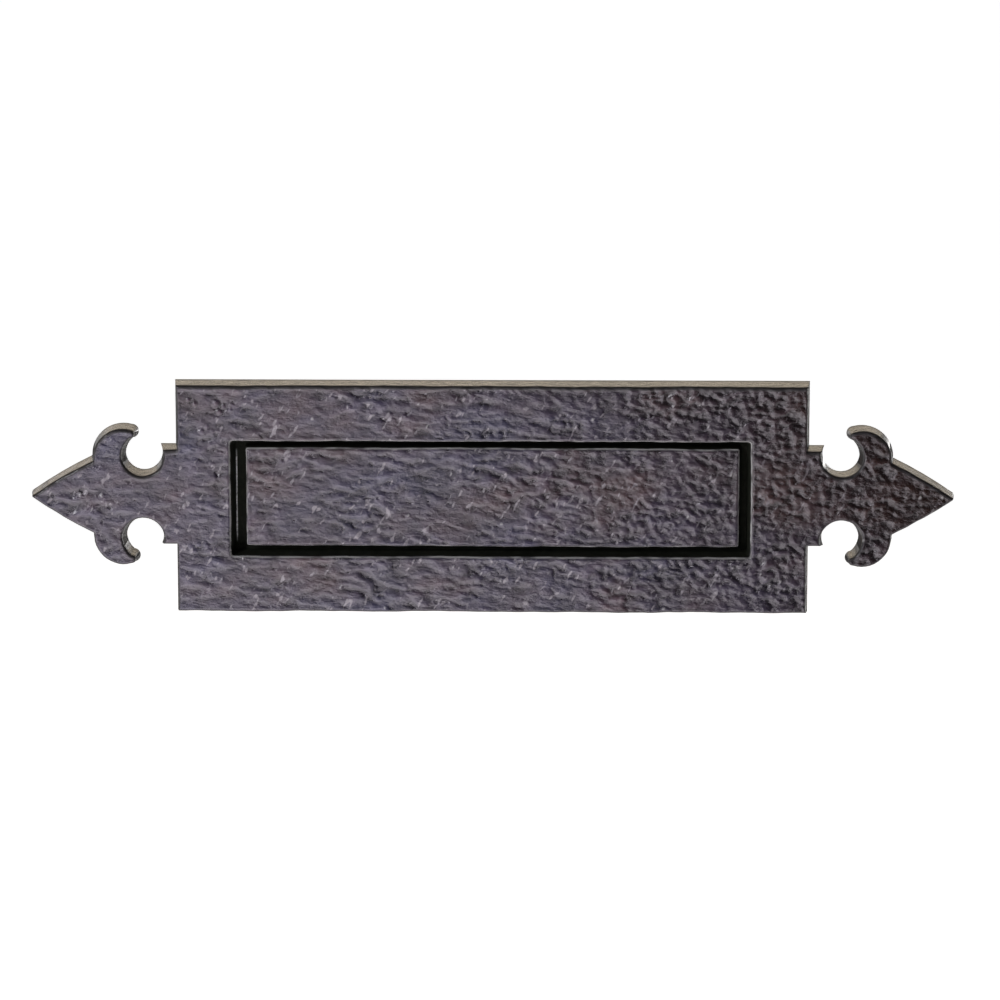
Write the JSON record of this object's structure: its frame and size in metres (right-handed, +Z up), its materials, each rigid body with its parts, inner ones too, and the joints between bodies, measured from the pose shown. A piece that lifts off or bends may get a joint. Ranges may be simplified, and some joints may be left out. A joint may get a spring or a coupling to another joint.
{
  "type": "letter plate",
  "caption": "Cast-iron letter plate with fleur-de-lis ends, hammered black face and a sprung flap that swings inwards on a hinge rod, with stud fixings through the door.",
  "frame": {"origin": "centre of the plate on its back plane, where it meets the door", "axes": "+X along the plate to the right as seen from outside the door, +Y into the door, +Z up"},
  "size_m": [0.4024, 0.073, 0.102],
  "materials": {
    "cast_iron_black": "gloss black enamel over a hammered casting",
    "zinc_steel": "bright zinc plated",
    "spring_steel": "bare drawn spring wire",
    "nylon": "natural nylon"
  },
  "bodies": {
    "plate_body": {"plate": "cast_iron_black", "hinge_rod": "zinc_steel", "rod_clip_left": "zinc_steel", "rod_clip_right": "zinc_steel", "thrust_washer_left": "nylon", "thrust_washer_right": "nylon", "spring_left": "spring_steel", "spring_right": "spring_steel", "stud_left": "zinc_steel", "stud_right": "zinc_steel", "door_washer_left": "zinc_steel", "door_washer_right": "zinc_steel", "door_nut_left": "zinc_steel", "door_nut_right": "zinc_steel"},
    "flap_body": {"flap": "cast_iron_black"}
  },
  "joints": [
    {"name": "flap_hinge", "type": "hinge", "parent": "plate_body", "child": "flap_body", "pos_m": [0, 0.006, 0.034], "axis": [1, 0, 0], "range_deg": [0, 80], "stiffness_Nm_per_rad": 0.2, "springref_deg": -25.78, "deforming": ["spring_left", "spring_right"]}
  ]
}
